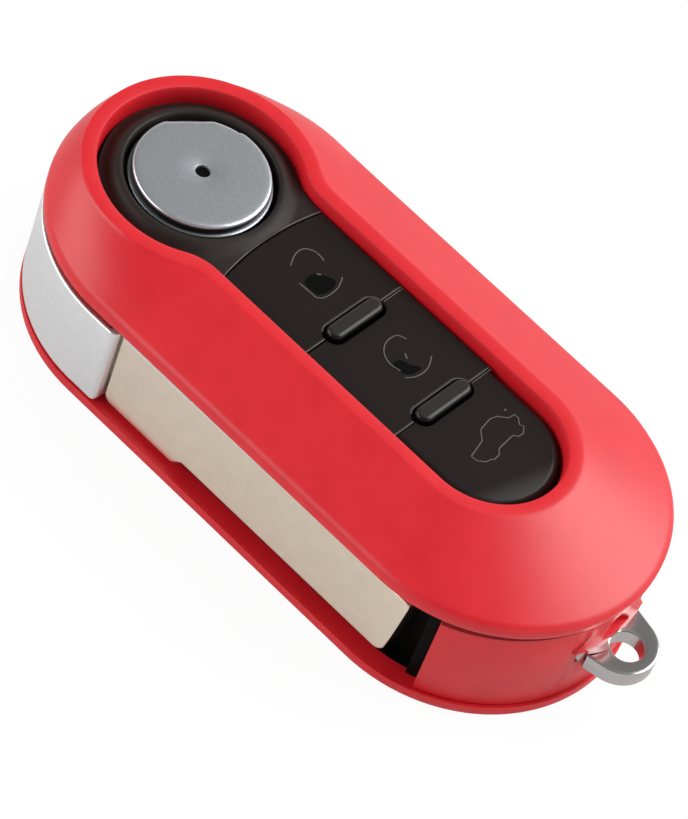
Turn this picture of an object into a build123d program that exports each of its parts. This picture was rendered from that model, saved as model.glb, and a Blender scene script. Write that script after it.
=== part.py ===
"""Flip key remote shell, blade folded in, lying on its back: millimetres, +Z up.

+X points to the key ring loop, -Y to the side the blade folds into, and the keys face +Z.
"""
from build123d import *
import math
import os

# Driving dimensions of the case
case_length = 72.5
case_width = 34.0
case_height = 18.6
loop_reach = 4.7

# Named clearances
running_gap = 0.06
seam_gap = 0.15
panel_gap = 0.35

# Lengths along the case, each counted from its middle
hinge_offset = 22.6
slot_end_offset = 16.7
head_edge_offset = 15.8
tray_edge_offset = 26.1
blade_root_offset = 15.5
blade_step_offset = 5.5
blade_tip_offset = 23.0
far_wall_offset = 12.6
first_key_offset = 13.5
well_offset = 14.5
hole_offset = 37.9

# Levels above the back of the case
bottom_lip_z = 1.5
chassis_floor_z = 1.6
wall_top_z = 13.1
cover_edge_z = 13.3
flange_top_z = 14.5
rim_z = 14.6
deck_z = 17.4

# Keyhole opening and bevel of the top cover
opening_radius = 10.35
slot_half_width = 7.35
neck_radius = 6.0
land_width = 1.4
opening_draft = 0.3
opening_edge_radius = 0.25
bevel_bulge = 0.2
bevel_neck_radius = 16.0
cover_wall = 1.4
skirt_wall = 1.2

# Bottom cover
floor_wall = 0.8
back_round = 0.6
lip_width = 2.2

# Blade head, and the pocket it turns in
head_bottom_z = 1.8
head_top_z = 12.4
head_corner_radius = 0.8
head_edge_chamfer = 0.8
pocket_radius = 18.6
pocket_wall = 1.2
pocket_start = 5.0
post_radius = 6.3
post_bore = 5.2
post_top_z = 4.0
thrust_ring_radius = 9.0
collar_radius = 8.6
collar_bore = 7.95
collar_bottom_z = 11.6
plunger_bore = 6.5

# Key blade
blade_inset = 0.9
blade_thickness = 2.6
blade_root_low_z = 2.3
blade_root_high_z = 12.6
blade_low_z = 3.4
blade_high_z = 12.3
blade_tip_radius = 1.3
blade_corner_radius = 0.4
tang_length = 7.8
tang_step = 0.9
tang_thickness = 1.7
tang_low_z = 4.8
tang_high_z = 11.2
pin_reach = 4.5
pin_z = 8.0
pin_radius = 0.75
pin_step = 0.2
pin_length = 3.9

# Release button
disc_radius = 6.9
disc_thickness = 1.4
disc_flange_radius = 7.2
disc_flange_thickness = 0.35
disc_top_z = 18.5
disc_edge_round = 0.4
disc_hole_radius = 0.75
disc_flat_distance = 6.3
disc_flat_angle = 145.0
bezel_bore = 7.6
bezel_rim_inner = 7.9
bezel_rim_outer = 8.3
bezel_rim_z = 18.0
bezel_foot_z = 16.7
lip_bottom_z = 15.6
shoulder_thickness = 0.8
plunger_radius = 6.4
plunger_inner_radius = 5.0
plunger_bottom_z = 6.9
plunger_roof = 1.2
spring_radius = 4.2
spring_wire_radius = 0.4
spring_turns = 6

# Keypad
key_thickness = 1.2
key_seam = 0.14
key_edge_radius = 0.2
boot_end_radius = 0.9
frame_thickness = 1.3
rib_length = 7.2
rib_width = 1.9
rib_groove = 0.3
rib_top_z = 18.0
rib_round = 0.5
seam_offsets = (-1.5, 10.4)
first_key_arc_radius = 30.0
stem_size = 3.0
stem_bottom_z = 14.45
mat_ledge_z = 13.5
mat_thickness = 0.5
dome_radius = 1.3
dome_height = 0.06
window_inset = 1.4
window_step = 2.2
ledge_width = 0.9

# Blade bay and battery tray
bay_depth = 4.0
bay_wall = 1.2
tray_bottom_z = 1.7
tray_wall = 1.6
tray_floor_z = 3.3
tray_floor = 1.2
tray_side_top_z = 8.2
tray_side_wall = 1.2
tray_far_inset = 3.1
rail_width = 1.6
well_y = 1.0
well_radius = 10.2
well_wall = 1.2
contact_thickness = 0.3
contact_width = 3.0

# Quarter-turn bolt of the tray
lock_z = 9.6
lock_head_radius = 2.4
lock_shaft_radius = 1.5
tongue_length = 3.2
tongue_width = 1.6
tongue_thickness = 0.9
coin_slot_width = 0.7
coin_slot_depth = 0.35

# Key ring loop, its seat in the tray and the scooped fairing over it
loop_low_z = 7.0
loop_thickness = 2.0
loop_radius = 3.7
loop_half_width = 4.4
loop_hole_radius = 1.7
loop_tail = 6.0
loop_notch_radius = 0.7
seat_half_width = 5.6
seat_depth = 2.6
seat_wall = 1.5
fairing_low_half_width = 5.0
fairing_high_half_width = 2.8
fairing_top_z = 12.4
fairing_fade = 0.1
scoop_low_z = 9.7
scoop_radius = 2.6
scoop_depth = 1.2

# Screws that hold the two halves of the chassis
screw_y = 8.4
far_screw_y = 11.0
screw_radius = 0.9
screw_head_radius = 1.7
screw_head_height = 0.6
screw_boss_radius = 1.9
screw_joint_z = 7.0
screw_top_z = 12.0

# Plan places from the lengths above
mid_x = -loop_reach / 2
end_radius = case_width / 2
arc_offset = case_length / 2 - end_radius
hinge_x = mid_x - hinge_offset
slot_end_x = mid_x + slot_end_offset
head_edge_x = mid_x - head_edge_offset
tray_edge_x = mid_x + tray_edge_offset
blade_root_start_x = mid_x - blade_root_offset
blade_step_x = mid_x - blade_step_offset
blade_tip_x = mid_x + blade_tip_offset
far_wall_start_x = mid_x - far_wall_offset
first_key_x = mid_x - first_key_offset
well_x = mid_x + well_offset
loop_hole_x = mid_x + hole_offset
seam_xs = [mid_x + offset for offset in seam_offsets]
tang_end_x = blade_root_start_x - tang_length
pin_x = blade_root_start_x - pin_reach
pocket_edge_x = hinge_x + pocket_radius + pocket_wall
screw_x = pocket_edge_x + screw_radius
tray_start_x = screw_x + 2 * screw_boss_radius
lock_x = tray_start_x + tongue_length
case_end_x = mid_x + case_length / 2
end_wall_x = case_end_x - panel_gap
bay_wall_y = bay_depth - end_radius
blade_outer_y = blade_inset - end_radius
tang_outer_y = blade_outer_y + tang_step
pin_outer_y = blade_outer_y + pin_step
tray_far_y = end_radius - tray_far_inset

# Fits from the shared values
barrel_radius = end_radius - panel_gap - (hinge_offset - arc_offset)
opening_bottom_radius = opening_radius - opening_draft
slot_bottom_half_width = slot_half_width - opening_draft
window_half_width = slot_bottom_half_width - window_inset
window_start_x = first_key_x + window_step
chassis_inset = cover_wall + seam_gap
bevel_mid_z = (rim_z + case_height) / 2
key_bottom_z = deck_z - key_thickness
loop_x = case_end_x + loop_reach - loop_radius
loop_top_z = loop_low_z + loop_thickness
tray_top_z = wall_top_z - panel_gap / 2
tray_near_y = bay_wall_y + bay_wall + seam_gap
tongue_y = tray_near_y + seam_gap
key_centres = (
    (first_key_x + seam_xs[0]) / 2,
    (seam_xs[0] + seam_xs[1]) / 2,
    (seam_xs[1] + slot_end_x + slot_half_width) / 2,
)
screw_places = [(screw_x, -screw_y), (screw_x, far_screw_y)]
rib_recess_length = rib_length + 2 * rib_groove
rib_recess_width = rib_width + 2 * rib_groove


def case_outline(inset, mode=Mode.ADD):
    """Round-ended outline of the case, set in all round."""
    with Locations((mid_x, 0)):
        SlotCenterToCenter(2 * arc_offset, 2 * (end_radius - inset), mode=mode)


def rim_outline(inset):
    """The same outline in six edges, which match those of the keyhole."""
    radius = end_radius - inset
    left = mid_x - arc_offset
    right = mid_x + arc_offset
    split = left + end_radius * 0.4
    with BuildLine() as outline:
        ThreePointArc((left, radius), (left - radius, 0), (left, -radius))
        Line((left, -radius), (split, -radius))
        Line((split, -radius), (right, -radius))
        ThreePointArc((right, -radius), (right + radius, 0), (right, radius))
        Line((right, radius), (split, radius))
        Line((split, radius), (left, radius))
    make_face(outline.edges())


def keyhole(round_x, end_x, round_radius, half_width, neck):
    """Round end, a hollow neck on each side, and a straight slot with a round end."""
    reach = math.sqrt((round_radius + neck) ** 2 - (half_width + neck) ** 2)
    angle = math.atan2(half_width + neck, reach)
    touch_x = round_x + round_radius * math.cos(angle)
    touch_y = round_radius * math.sin(angle)
    neck_x = round_x + reach
    half_turn = (angle + math.pi / 2) / 2
    hollow_x = neck_x - neck * math.cos(half_turn)
    hollow_y = half_width + neck - neck * math.sin(half_turn)
    with BuildLine() as outline:
        ThreePointArc((touch_x, touch_y), (round_x - round_radius, 0), (touch_x, -touch_y))
        ThreePointArc((touch_x, -touch_y), (hollow_x, -hollow_y), (neck_x, -half_width))
        Line((neck_x, -half_width), (end_x, -half_width))
        ThreePointArc((end_x, -half_width), (end_x + half_width, 0), (end_x, half_width))
        Line((end_x, half_width), (neck_x, half_width))
        ThreePointArc((neck_x, half_width), (hollow_x, hollow_y), (touch_x, touch_y))
    make_face(outline.edges())


def opening_outline(grow):
    """Keyhole opening at the land, let out all round."""
    keyhole(hinge_x, slot_end_x, opening_radius + grow, slot_half_width + grow, neck_radius - grow)


def bevel_outline(inset):
    """Bulged outline half way up the bevel, set in all round."""
    round_x = (hinge_x + mid_x - arc_offset) / 2
    end_x = (slot_end_x + mid_x + arc_offset) / 2
    round_radius = (opening_radius + land_width + end_radius) / 2 + bevel_bulge - inset
    half_width = (slot_half_width + land_width + end_radius) / 2 + bevel_bulge - inset
    keyhole(round_x, end_x, round_radius, half_width, bevel_neck_radius + inset)


def keypad_outline():
    """Area of the slot that the keys and their frame fill, up to the curved seam by the disc."""
    opening_outline(-opening_draft - seam_gap)
    with Locations((first_key_x + seam_gap + first_key_arc_radius, 0)):
        Circle(first_key_arc_radius, mode=Mode.INTERSECT)


def window_outline(inset):
    """Window under the keys: square towards the disc, round at its far end."""
    half_width = window_half_width - inset
    start_x = window_start_x + inset
    with Locations(((start_x + slot_end_x) / 2, 0)):
        Rectangle(slot_end_x - start_x, 2 * half_width)
    with Locations((slot_end_x, 0)):
        Circle(half_width)


def key_outline(start_x, end_x):
    """One key's share of the keypad, cut clear of the raised ribs."""
    keypad_outline()
    with Locations(((start_x + end_x) / 2, 0)):
        Rectangle(end_x - start_x, case_width, mode=Mode.INTERSECT)
    for seam_x in seam_xs:
        with Locations((seam_x, 0)):
            SlotOverall(rib_recess_length, rib_recess_width, rotation=90, mode=Mode.SUBTRACT)


def loop_outline():
    """Round nose of the loop, with sides that run out to its straight tail."""
    with Locations((loop_x, 0)):
        Circle(loop_radius)
    with Locations((loop_x - loop_tail, 0)):
        Rectangle(loop_tail, 2 * loop_half_width)
    make_hull()


# Top cover: upright lip, hollow lofted bevel, and a skirt round the drafted opening
with BuildPart() as top_cover:
    with BuildSketch(Plane.XY.offset(cover_edge_z)):
        rim_outline(0)
    extrude(amount=rim_z - cover_edge_z)
    with BuildSketch(Plane.XY.offset(rim_z)):
        rim_outline(0)
    with BuildSketch(Plane.XY.offset(bevel_mid_z)):
        bevel_outline(0)
    with BuildSketch(Plane.XY.offset(case_height)):
        opening_outline(land_width)
    loft()
    with BuildSketch(Plane.XY.offset(cover_edge_z)):
        rim_outline(cover_wall)
    extrude(amount=rim_z - cover_edge_z, mode=Mode.SUBTRACT)
    with BuildSketch(Plane.XY.offset(rim_z)):
        rim_outline(cover_wall)
    with BuildSketch(Plane.XY.offset(bevel_mid_z - cover_wall / 2)):
        bevel_outline(cover_wall)
    loft(mode=Mode.SUBTRACT)
    with BuildSketch(Plane.XY.offset(bevel_mid_z - cover_wall / 2)):
        bevel_outline(cover_wall)
    with BuildSketch(Plane.XY.offset(case_height - cover_wall)):
        opening_outline(0)
    loft(mode=Mode.SUBTRACT)
    with BuildSketch(Plane.XY.offset(flange_top_z)):
        opening_outline(skirt_wall)
    extrude(amount=case_height - cover_wall / 2 - flange_top_z)
    with BuildSketch(Plane.XY.offset(flange_top_z)):
        opening_outline(-opening_draft)
    with BuildSketch(Plane.XY.offset(case_height)):
        opening_outline(0)
    loft(mode=Mode.SUBTRACT)
    land_face = top_cover.faces().filter_by(Axis.Z).sort_by(Axis.Z)[-1]
    fillet(land_face.inner_wires()[0].edges(), opening_edge_radius)

# Bottom cover: shallow tray with a rounded back edge, and the wall of the far side
with BuildPart() as bottom_cover:
    with BuildSketch():
        case_outline(0)
    extrude(amount=bottom_lip_z)
    fillet(bottom_cover.faces().sort_by(Axis.Z)[0].edges(), back_round)
    with BuildSketch(Plane.XY.offset(bottom_lip_z)):
        case_outline(0)
        with Locations(((far_wall_start_x + tray_edge_x - panel_gap) / 2, end_radius / 2)):
            Rectangle(tray_edge_x - panel_gap - far_wall_start_x, end_radius, mode=Mode.INTERSECT)
    extrude(amount=wall_top_z - bottom_lip_z)
    with BuildSketch(Plane.XY.offset(floor_wall)):
        case_outline(lip_width)
    extrude(amount=wall_top_z - floor_wall, mode=Mode.SUBTRACT)
    with BuildSketch(Plane.XY.offset(bottom_lip_z)):
        case_outline(cover_wall)
    extrude(amount=wall_top_z - bottom_lip_z, mode=Mode.SUBTRACT)

# Lower chassis: floor with the hinge post, pocket wall, blade bay, far wall and tray rails
chassis_end_x = tray_edge_x - panel_gap
with BuildPart() as lower_chassis:
    with BuildSketch(Plane.XY.offset(floor_wall)):
        case_outline(lip_width + seam_gap)
    extrude(amount=chassis_floor_z - floor_wall)
    with BuildSketch(Plane.XY.offset(chassis_floor_z)):
        with Locations((hinge_x, 0)):
            Circle(pocket_radius + pocket_wall)
        with Locations((hinge_x + pocket_radius + pocket_start, bay_wall_y + case_width / 2)):
            Rectangle(2 * pocket_radius, case_width, mode=Mode.INTERSECT)
        with Locations(((chassis_end_x + blade_step_x) / 2, bay_wall_y + bay_wall / 2)):
            Rectangle(chassis_end_x - blade_step_x, bay_wall)
        with Locations(((chassis_end_x + far_wall_start_x) / 2, tray_far_y + seam_gap + bay_wall / 2)):
            Rectangle(chassis_end_x - far_wall_start_x, bay_wall)
        with Locations((chassis_end_x - bay_wall / 2, bay_wall_y - bay_depth / 2)):
            Rectangle(bay_wall, bay_depth)
        with Locations((hinge_x, 0)):
            Circle(pocket_radius, mode=Mode.SUBTRACT)
        case_outline(chassis_inset, mode=Mode.INTERSECT)
    extrude(amount=wall_top_z - chassis_floor_z)
    with BuildSketch(Plane.XY.offset(chassis_floor_z)):
        with Locations(screw_places):
            Circle(screw_boss_radius)
    extrude(amount=screw_joint_z - chassis_floor_z)
    rail_x = (tray_start_x + tray_edge_x) / 2
    with BuildSketch(Plane.XY.offset(chassis_floor_z)):
        with Locations((rail_x, tray_near_y + rail_width / 2), (rail_x, tray_far_y - rail_width / 2)):
            Rectangle(tray_edge_x - tray_start_x, rail_width)
    extrude(amount=tray_floor_z - running_gap - chassis_floor_z)
    with BuildSketch(Plane.XY.offset(chassis_floor_z)):
        with Locations((hinge_x, 0)):
            Circle(thrust_ring_radius)
            Circle(post_bore, mode=Mode.SUBTRACT)
    extrude(amount=head_bottom_z - running_gap - chassis_floor_z)
    with BuildSketch(Plane.XY.offset(chassis_floor_z)):
        with Locations((hinge_x, 0)):
            Circle(post_radius)
            Circle(post_bore, mode=Mode.SUBTRACT)
    extrude(amount=post_top_z - chassis_floor_z)
    with BuildSketch(Plane.XY.offset(floor_wall)):
        with Locations(screw_places):
            Circle(screw_radius + running_gap)
    extrude(amount=screw_joint_z - floor_wall, mode=Mode.SUBTRACT)
    with BuildSketch(Plane.XY.offset(floor_wall)):
        with Locations(screw_places):
            Circle(screw_head_radius + seam_gap)
    extrude(amount=screw_head_height, mode=Mode.SUBTRACT)
    with BuildSketch(Plane.XZ.offset(-bay_wall_y)):
        with Locations((lock_x, lock_z)):
            Circle(lock_head_radius + running_gap)
    extrude(amount=-bay_wall / 2, mode=Mode.SUBTRACT)
    with BuildSketch(Plane.XZ.offset(-bay_wall_y)):
        with Locations((lock_x, lock_z)):
            Circle(lock_shaft_radius + running_gap)
    extrude(amount=-bay_wall, mode=Mode.SUBTRACT)

# Upper chassis: flange under the cover, ring round the disc, keypad window, collar and screw bosses
with BuildPart() as upper_chassis:
    with BuildSketch(Plane.XY.offset(wall_top_z)):
        case_outline(chassis_inset)
    extrude(amount=flange_top_z - wall_top_z)
    with BuildSketch(Plane.XZ):
        with BuildLine():
            Polyline(
                (hinge_x, collar_bottom_z),
                (hinge_x + collar_radius, collar_bottom_z),
                (hinge_x + collar_radius, wall_top_z),
                (hinge_x + opening_bottom_radius - seam_gap, wall_top_z),
                (hinge_x + opening_bottom_radius - seam_gap, bezel_foot_z),
                (hinge_x + bezel_rim_outer, bezel_rim_z),
                (hinge_x, bezel_rim_z),
                close=True,
            )
        make_face()
    revolve(axis=Axis((hinge_x, 0, 0), (0, 0, 1)))
    with BuildSketch(Plane.XY.offset(flange_top_z)):
        opening_outline(-opening_draft - seam_gap)
        with Locations((hinge_x + opening_radius + bezel_bore, 0)):
            Rectangle(2 * opening_radius, case_width, mode=Mode.INTERSECT)
    extrude(amount=deck_z - flange_top_z)
    with BuildSketch(Plane.XY.offset(flange_top_z)):
        with Locations((first_key_x + first_key_arc_radius, 0)):
            Circle(first_key_arc_radius)
    extrude(amount=bezel_rim_z - flange_top_z, mode=Mode.SUBTRACT)
    with BuildSketch(Plane.XY.offset(screw_joint_z)):
        with Locations(screw_places):
            Circle(screw_boss_radius)
    extrude(amount=wall_top_z - screw_joint_z)
    with BuildSketch(Plane.XZ):
        with BuildLine():
            Polyline(
                (hinge_x, collar_bottom_z),
                (hinge_x + collar_bore, collar_bottom_z),
                (hinge_x + collar_bore, lip_bottom_z),
                (hinge_x + bezel_bore, lip_bottom_z),
                (hinge_x + bezel_bore, bezel_rim_z - bezel_rim_inner + bezel_bore),
                (hinge_x + bezel_rim_inner, bezel_rim_z),
                (hinge_x, bezel_rim_z),
                close=True,
            )
        make_face()
    revolve(axis=Axis((hinge_x, 0, 0), (0, 0, 1)), mode=Mode.SUBTRACT)
    with BuildSketch(Plane.XY.offset(mat_ledge_z)):
        window_outline(0)
    extrude(amount=flange_top_z - mat_ledge_z, mode=Mode.SUBTRACT)
    with BuildSketch(Plane.XY.offset(wall_top_z)):
        window_outline(ledge_width)
    extrude(amount=mat_ledge_z - wall_top_z, mode=Mode.SUBTRACT)
    with BuildSketch(Plane.XY.offset(screw_joint_z)):
        with Locations(screw_places):
            Circle(screw_radius)
    extrude(amount=screw_top_z - screw_joint_z, mode=Mode.SUBTRACT)

# Keypad frame: thin plate under the keys, with the two raised oval ribs that part them
with BuildPart() as keypad_frame:
    with BuildSketch(Plane.XY.offset(flange_top_z)):
        for seam_x in seam_xs:
            with Locations((seam_x, 0)):
                SlotOverall(rib_length, rib_width, rotation=90)
    extrude(amount=rib_top_z - flange_top_z)
    fillet(keypad_frame.faces().sort_by(Axis.Z)[-2:].edges(), rib_round)
    with BuildSketch(Plane.XY.offset(flange_top_z)):
        keypad_outline()
        with Locations([(x, 0) for x in key_centres]):
            Rectangle(stem_size + 2 * seam_gap, stem_size + 2 * seam_gap, mode=Mode.SUBTRACT)
    extrude(amount=frame_thickness)

# Unlock key, next to the disc
with BuildPart() as unlock_key:
    with BuildSketch(Plane.XY.offset(key_bottom_z)):
        key_outline(first_key_x - neck_radius, seam_xs[0] - key_seam / 2)
    extrude(amount=key_thickness)
    fillet(unlock_key.faces().sort_by(Axis.Z)[-1].edges(), key_edge_radius)
    with BuildSketch(Plane.XY.offset(stem_bottom_z)):
        with Locations((key_centres[0], 0)):
            Rectangle(stem_size, stem_size)
    extrude(amount=key_bottom_z - stem_bottom_z)

# Lock key, between the two ribs
with BuildPart() as lock_key:
    with BuildSketch(Plane.XY.offset(key_bottom_z)):
        key_outline(seam_xs[0] + key_seam / 2, seam_xs[1] - key_seam / 2)
    extrude(amount=key_thickness)
    fillet(lock_key.faces().sort_by(Axis.Z)[-1].edges(), key_edge_radius)
    with BuildSketch(Plane.XY.offset(stem_bottom_z)):
        with Locations((key_centres[1], 0)):
            Rectangle(stem_size, stem_size)
    extrude(amount=key_bottom_z - stem_bottom_z)

# Boot key, in the round end of the slot
with BuildPart() as boot_key:
    with BuildSketch(Plane.XY.offset(key_bottom_z)):
        key_outline(seam_xs[1] + key_seam / 2, slot_end_x + slot_half_width)
    extrude(amount=key_thickness)
    fillet(boot_key.faces().sort_by(Axis.Z)[-1].edges().sort_by(Axis.X)[-1], boot_end_radius)
    with BuildSketch(Plane.XY.offset(stem_bottom_z)):
        with Locations((key_centres[2], 0)):
            Rectangle(stem_size, stem_size)
    extrude(amount=key_bottom_z - stem_bottom_z)

# Rubber mat on the ledge of the window, with a low pad under each key
with BuildPart() as key_mat:
    with BuildSketch(Plane.XY.offset(mat_ledge_z)):
        window_outline(seam_gap)
    extrude(amount=mat_thickness)
    with BuildSketch(Plane.XY.offset(mat_ledge_z + mat_thickness)):
        with Locations([(x, 0) for x in key_centres]):
            Circle(dome_radius)
    extrude(amount=dome_height)

# Release disc, with a small hole, a flat on its rim and a thin base flange
with BuildPart() as release_disc:
    with BuildSketch(Plane.XY.offset(disc_top_z - disc_thickness)):
        with Locations((hinge_x, 0)):
            Circle(disc_radius)
            Circle(disc_hole_radius, mode=Mode.SUBTRACT)
        cut_reach = disc_flat_distance + disc_radius
        cut_x = hinge_x + cut_reach * math.cos(math.radians(disc_flat_angle))
        cut_y = cut_reach * math.sin(math.radians(disc_flat_angle))
        with Locations((cut_x, cut_y)):
            Rectangle(2 * disc_radius, 2 * disc_radius, rotation=disc_flat_angle, mode=Mode.SUBTRACT)
    extrude(amount=disc_thickness)
    with BuildSketch(Plane.XY.offset(disc_top_z - disc_thickness)):
        with Locations((hinge_x, 0)):
            Circle(disc_flange_radius)
            Circle(disc_hole_radius, mode=Mode.SUBTRACT)
    extrude(amount=disc_flange_thickness)
    fillet(release_disc.faces().sort_by(Axis.Z)[-1].outer_wire().edges(), disc_edge_round)

# Plunger under the disc: hollow barrel with a shoulder that the lip of the ring holds down
with BuildPart() as release_plunger:
    with BuildSketch(Plane.XZ):
        with BuildLine():
            Polyline(
                (hinge_x + plunger_inner_radius, plunger_bottom_z),
                (hinge_x + plunger_radius, plunger_bottom_z),
                (hinge_x + plunger_radius, lip_bottom_z - running_gap - shoulder_thickness),
                (hinge_x + collar_bore - running_gap, lip_bottom_z - running_gap - shoulder_thickness),
                (hinge_x + collar_bore - running_gap, lip_bottom_z - running_gap),
                (hinge_x + plunger_radius, lip_bottom_z - running_gap),
                (hinge_x + plunger_radius, disc_top_z - disc_thickness),
                (hinge_x, disc_top_z - disc_thickness),
                (hinge_x, disc_top_z - disc_thickness - plunger_roof),
                (hinge_x + plunger_inner_radius, disc_top_z - disc_thickness - plunger_roof),
                close=True,
            )
        make_face()
    revolve(axis=Axis((hinge_x, 0, 0), (0, 0, 1)))

# Coil spring between the chassis floor and the roof of the plunger
spring_low_z = chassis_floor_z + spring_wire_radius
spring_high_z = disc_top_z - disc_thickness - plunger_roof - spring_wire_radius
with BuildPart() as flip_spring:
    with BuildLine():
        coil = Helix(
            pitch=(spring_high_z - spring_low_z) / spring_turns,
            height=spring_high_z - spring_low_z,
            radius=spring_radius,
            center=(hinge_x, 0, spring_low_z),
        )
    with BuildSketch(Plane(origin=coil @ 0, z_dir=coil % 0)):
        Circle(spring_wire_radius)
    sweep(path=coil, is_frenet=True)

# Blade head: barrel on the hinge post, and the block that carries the blade and closes the case
with BuildPart() as blade_head:
    with BuildSketch(Plane.XY.offset(head_bottom_z)):
        case_outline(panel_gap)
        with Locations((head_edge_x - case_width / 2, -case_width / 4)):
            Rectangle(case_width, case_width / 2, mode=Mode.INTERSECT)
        with Locations((hinge_x, 0)):
            Circle(barrel_radius)
    extrude(amount=head_top_z - head_bottom_z)
    end_edges = blade_head.edges().filter_by_position(Axis.X, head_edge_x - 0.01, head_edge_x + 0.01)
    fillet(end_edges.filter_by(Axis.Y).sort_by(Axis.Z)[0], head_corner_radius)
    end_edges = blade_head.edges().filter_by_position(Axis.X, head_edge_x - 0.01, head_edge_x + 0.01)
    chamfer(end_edges.filter_by(Axis.Z).sort_by(Axis.Y)[0], head_edge_chamfer)
    with BuildSketch(Plane.XY.offset(head_bottom_z)):
        with Locations((hinge_x, 0)):
            Circle(post_radius + running_gap)
    extrude(amount=post_top_z - head_bottom_z, mode=Mode.SUBTRACT)
    with BuildSketch(Plane.XY.offset(post_top_z)):
        with Locations((hinge_x, 0)):
            Circle(plunger_bore)
    extrude(amount=head_top_z - post_top_z, mode=Mode.SUBTRACT)
    with BuildSketch(Plane.XY.offset(collar_bottom_z - seam_gap)):
        with Locations((hinge_x, 0)):
            Circle(collar_radius + running_gap)
    extrude(amount=head_top_z - collar_bottom_z + seam_gap, mode=Mode.SUBTRACT)
    with BuildSketch(Plane.XZ.offset(-tang_outer_y + running_gap)):
        with Locations(((tang_end_x + head_edge_x) / 2, (tang_low_z + tang_high_z) / 2)):
            Rectangle(head_edge_x - tang_end_x + 2 * running_gap, tang_high_z - tang_low_z + 2 * running_gap)
    extrude(amount=-tang_thickness - 2 * running_gap, mode=Mode.SUBTRACT)
    with BuildSketch(Plane.XZ.offset(-pin_outer_y)):
        with Locations((pin_x, pin_z)):
            Circle(pin_radius)
    extrude(amount=pin_outer_y, mode=Mode.SUBTRACT)

# Key blade: uncut blank with a broad root, a rounded tip and a tang in the head
with BuildPart() as key_blade:
    with BuildSketch(Plane.XZ.offset(-blade_outer_y)):
        with Locations(((blade_root_start_x + blade_step_x) / 2, (blade_root_low_z + blade_root_high_z) / 2)):
            Rectangle(blade_step_x - blade_root_start_x, blade_root_high_z - blade_root_low_z)
        with Locations(((blade_step_x + blade_tip_x) / 2, (blade_low_z + blade_high_z) / 2)):
            Rectangle(blade_tip_x - blade_step_x, blade_high_z - blade_low_z)
    extrude(amount=-blade_thickness)
    tip_edges = key_blade.edges().filter_by(Axis.Y).group_by(Axis.X)[-1].sort_by(Axis.Z)
    fillet(tip_edges[0], blade_tip_radius)
    tip_edges = key_blade.edges().filter_by(Axis.Y).group_by(Axis.X)[-1].sort_by(Axis.Z)
    fillet(tip_edges[-1], blade_corner_radius)
    root_edges = key_blade.edges().filter_by(Axis.Y).group_by(Axis.X)[0].sort_by(Axis.Z)
    fillet(root_edges[0], head_corner_radius)
    with BuildSketch(Plane.XZ.offset(-tang_outer_y)):
        with Locations(((tang_end_x + blade_root_start_x) / 2, (tang_low_z + tang_high_z) / 2)):
            Rectangle(blade_root_start_x - tang_end_x, tang_high_z - tang_low_z)
    extrude(amount=-tang_thickness)
    with BuildSketch(Plane.XZ.offset(-tang_outer_y)):
        with Locations((pin_x, pin_z)):
            Circle(pin_radius)
    extrude(amount=-tang_thickness, mode=Mode.SUBTRACT)

# Pin through the tang, pressed into the head from the inside
with BuildPart() as blade_pin:
    with BuildSketch(Plane.XZ.offset(-pin_outer_y)):
        with Locations((pin_x, pin_z)):
            Circle(pin_radius)
    extrude(amount=-pin_length)

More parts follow.
